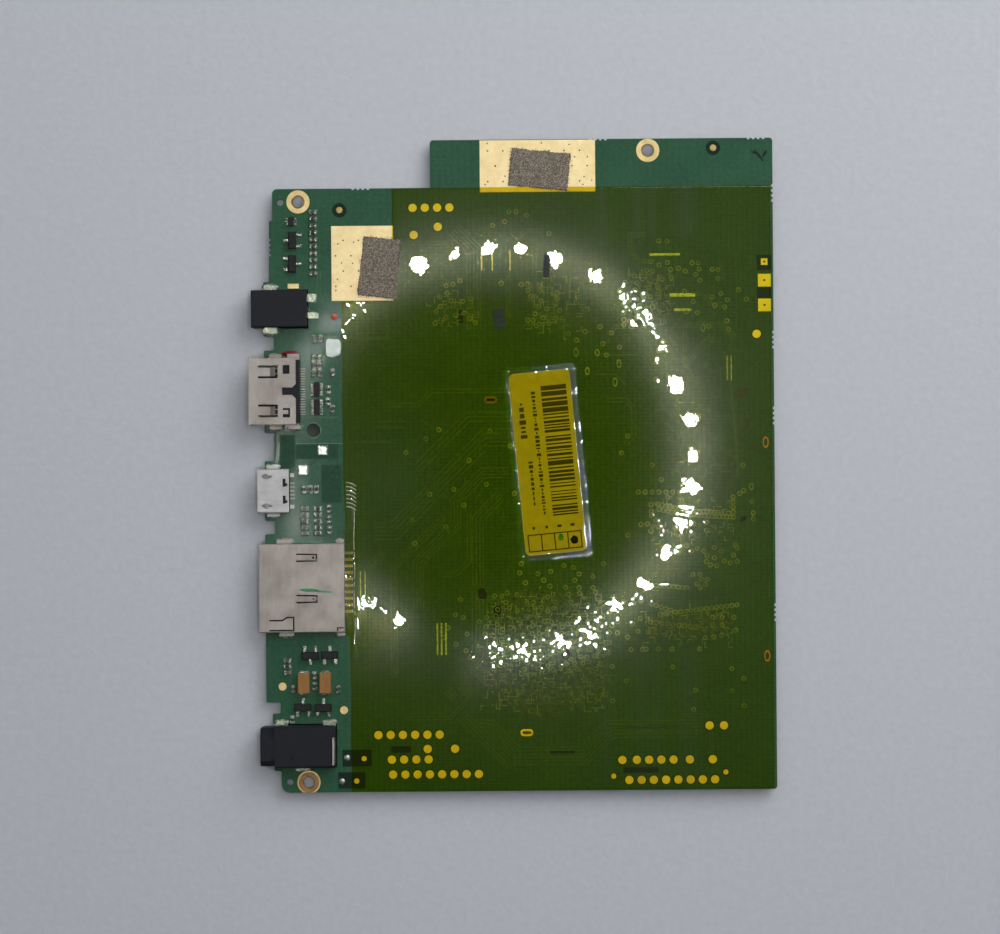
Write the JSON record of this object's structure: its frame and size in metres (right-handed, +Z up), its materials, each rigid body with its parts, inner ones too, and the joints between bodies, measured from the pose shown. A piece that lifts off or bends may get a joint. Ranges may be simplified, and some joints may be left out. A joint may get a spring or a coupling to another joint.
{
  "type": "tablet motherboard",
  "caption": "Tablet motherboard: a green circuit board with a stepped corner, sockets along its left edge, gold pads, and a glossy yellow film over a paper label.",
  "frame": {"origin": "centre of the whole part's box, on the plane that its lowest underside pieces rest on", "axes": "+Y along the board towards the edge with the step, +Z up out of the side with the sockets, sockets open towards -X"},
  "size_m": [0.089, 0.1106, 0.0054],
  "materials": {
    "board_mask": "green lacquer over glass and resin laminate",
    "gold_plating": "thin gold over copper, satin",
    "copper_pads": "dull gold over copper",
    "solder": "bright tin, uneven",
    "conductive_fabric": "grey brown metallised weave",
    "film": "yellow see-through film, glossy and slightly rippled",
    "label_paper": "matt paper",
    "jack_plastic": "moulded black, fine grain",
    "socket_steel": "nickel-plated sheet",
    "bright_steel": "bright nickel-plated sheet",
    "contact_metal": "plated spring bronze",
    "tinned_leads": "tin plated",
    "chip_resin": "black moulding resin",
    "tantalum_resin": "orange moulding resin",
    "ceramic_brown": "brown sintered ceramic",
    "resistor_glaze": "black glaze on ceramic",
    "socket_resin": "ivory moulding resin"
  },
  "bodies": {
    "root": {"circuit_board": "board_mask", "screw_hole_platings": "gold_plating", "slot_rims": "gold_plating", "ground_pads": "gold_plating", "test_pads": "gold_plating", "alignment_marks": "gold_plating", "edge_pads": "gold_plating", "round_copper_pads": "copper_pads", "soldered_pads": "solder", "tinned_dots": "solder", "protective_film": "film", "conductive_fabric_pads": "conductive_fabric", "paper_label": "label_paper", "power_jack_housing": "jack_plastic", "power_jack_pin": "contact_metal", "power_jack_clips": "socket_steel", "power_jack_contacts": "tinned_leads", "power_jack_solder_pad": "solder", "video_socket_shell": "socket_steel", "video_socket_insulator": "jack_plastic", "video_socket_contacts": "tinned_leads", "data_socket_shell": "bright_steel", "data_socket_insulator": "jack_plastic", "data_socket_contacts": "tinned_leads", "card_socket_cover": "socket_steel", "card_socket_base": "jack_plastic", "card_socket_contacts": "contact_metal", "headphone_jack_housing": "jack_plastic", "headphone_jack_back_plate": "bright_steel", "headphone_jack_contacts": "tinned_leads", "transistor_bodies": "chip_resin", "transistor_leads": "tinned_leads", "tantalum_capacitor_bodies": "tantalum_resin", "tantalum_capacitor_ends": "tinned_leads", "protection_chip_bodies": "chip_resin", "protection_chip_leads": "tinned_leads", "ceramic_capacitor_bodies": "ceramic_brown", "ceramic_capacitor_ends": "tinned_leads", "resistor_bodies": "resistor_glaze", "resistor_ends": "tinned_leads", "processor": "chip_resin", "memory_chips": "chip_resin", "flash_chip": "chip_resin", "power_management_chip": "chip_resin", "wireless_module_can": "bright_steel", "crystals": "bright_steel", "power_inductors": "chip_resin", "ribbon_socket_bodies": "socket_resin", "ribbon_socket_contacts": "contact_metal", "battery_connector_body": "socket_resin", "battery_connector_pins": "tinned_leads", "microphone_capsule": "bright_steel", "underside_capacitor_bodies": "ceramic_brown", "underside_capacitor_ends": "tinned_leads"}
  },
  "joints": []
}
